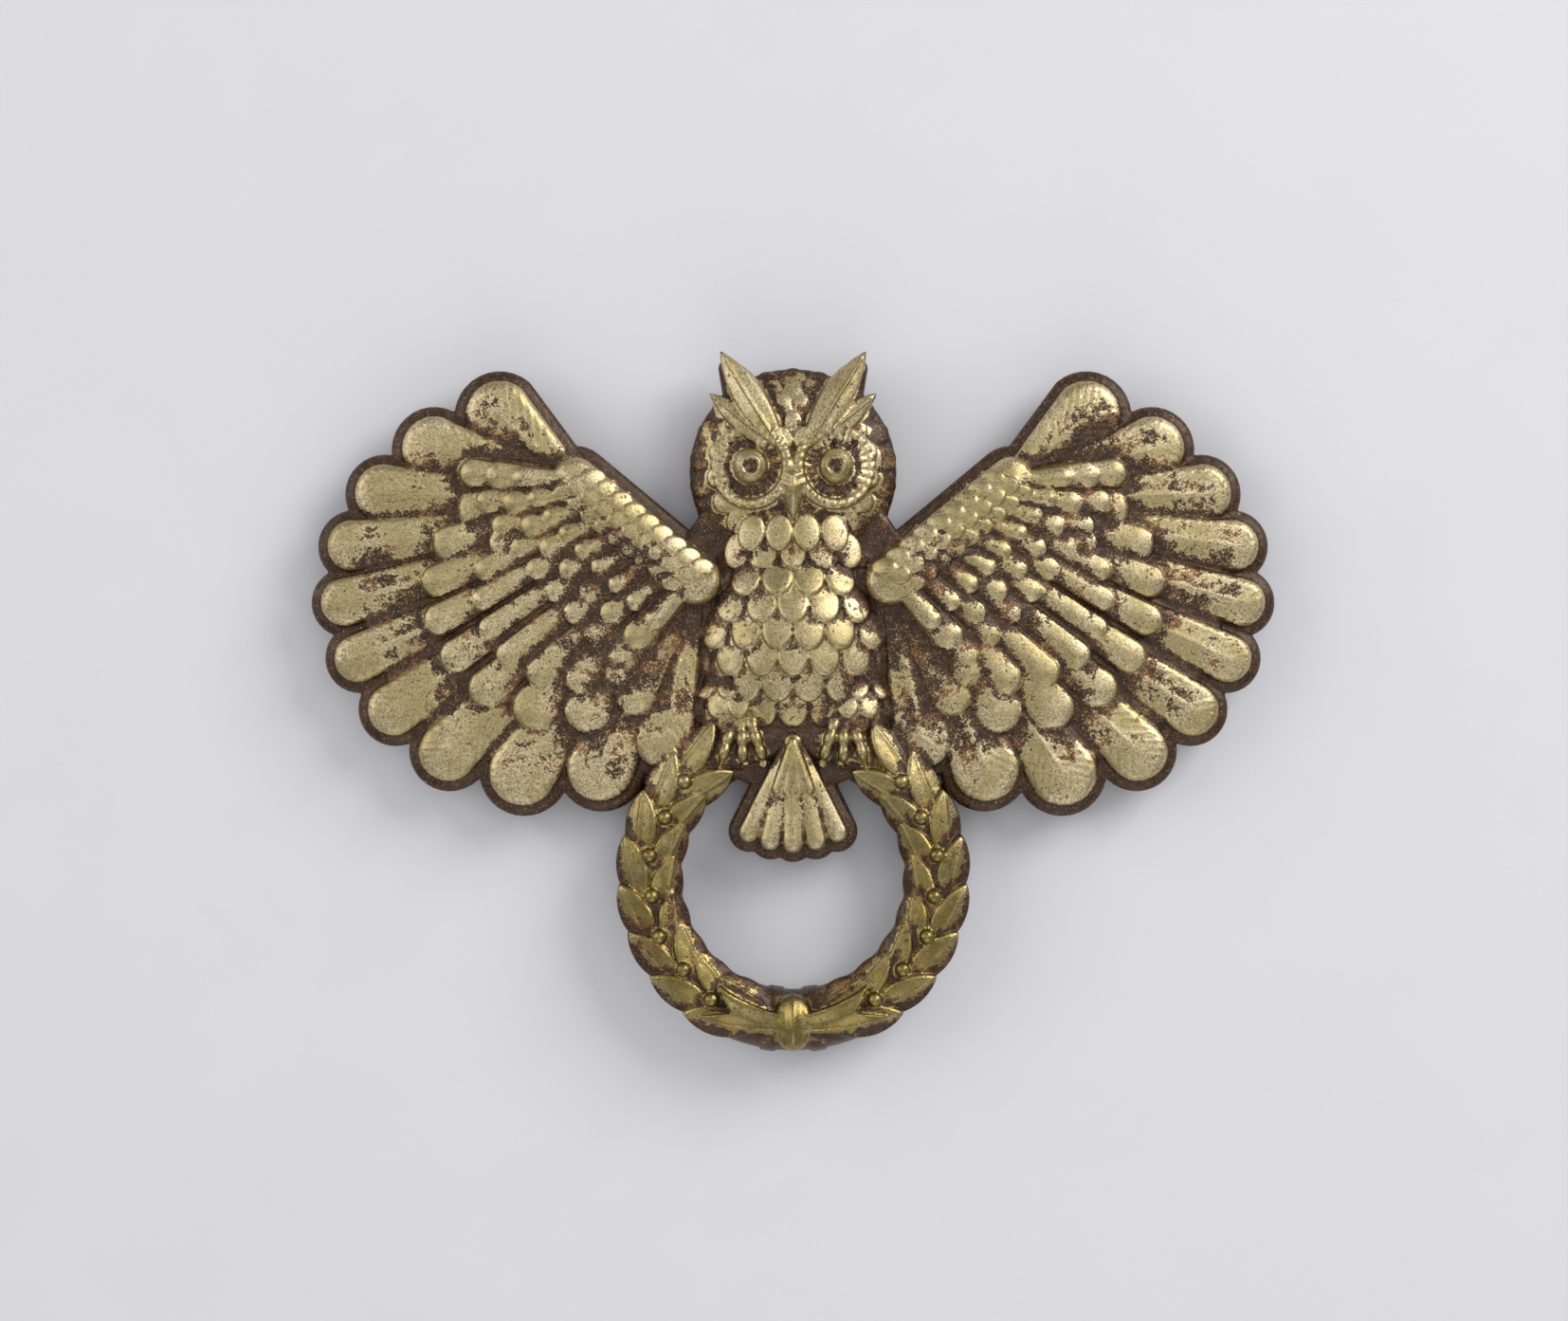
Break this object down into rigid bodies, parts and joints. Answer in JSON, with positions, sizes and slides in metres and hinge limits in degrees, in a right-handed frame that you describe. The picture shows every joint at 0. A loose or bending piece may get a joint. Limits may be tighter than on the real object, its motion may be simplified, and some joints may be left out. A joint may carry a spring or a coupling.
{
  "type": "cap badge",
  "caption": "Hollow pressed metal cap badge with a raised-wing owl over an open laurel wreath, held to a cap by split pins whose legs bend between straight and folded flat.",
  "frame": {"origin": "middle of the badge's width and height, on the flat surface that the folded pin legs rest on", "axes": "+X to the badge's right wing tip as it is looked at, +Y towards the owl's crown, +Z out of its face"},
  "size_m": [0.064, 0.0466, 0.0069],
  "materials": {
    "silvered_tombak": "satin, worn silver wash with brown patina in the recesses",
    "pin_brass": "satin, drawn and bent",
    "plate_brass": "satin, stamped, dulled",
    "soft_solder": "dull grey, cast"
  },
  "bodies": {
    "badge": {"badge_shell": "silvered_tombak", "left_anchor_plate": "plate_brass", "left_plate_solder": "soft_solder", "left_pin_shank": "pin_brass", "left_pin_solder": "soft_solder", "right_anchor_plate": "plate_brass", "right_plate_solder": "soft_solder", "right_pin_shank": "pin_brass", "right_pin_solder": "soft_solder"},
    "left_upper_leg": {"left_upper_leg": "pin_brass"},
    "left_lower_leg": {"left_lower_leg": "pin_brass"},
    "right_upper_leg": {"right_upper_leg": "pin_brass"},
    "right_lower_leg": {"right_lower_leg": "pin_brass"}
  },
  "joints": [
    {"name": "left_upper_leg_bend", "type": "hinge", "parent": "badge", "child": "left_upper_leg", "pos_m": [-0.0145, 0.00553, 0.00038], "axis": [-1, 0, 0], "range_deg": [0, 90]},
    {"name": "left_lower_leg_bend", "type": "hinge", "parent": "badge", "child": "left_lower_leg", "pos_m": [-0.0145, 0.00468, 0.00038], "axis": [1, 0, 0], "range_deg": [0, 90]},
    {"name": "right_upper_leg_bend", "type": "hinge", "parent": "badge", "child": "right_upper_leg", "pos_m": [0.0145, 0.00553, 0.00038], "axis": [-1, 0, 0], "range_deg": [0, 90]},
    {"name": "right_lower_leg_bend", "type": "hinge", "parent": "badge", "child": "right_lower_leg", "pos_m": [0.0145, 0.00468, 0.00038], "axis": [1, 0, 0], "range_deg": [0, 90]}
  ]
}
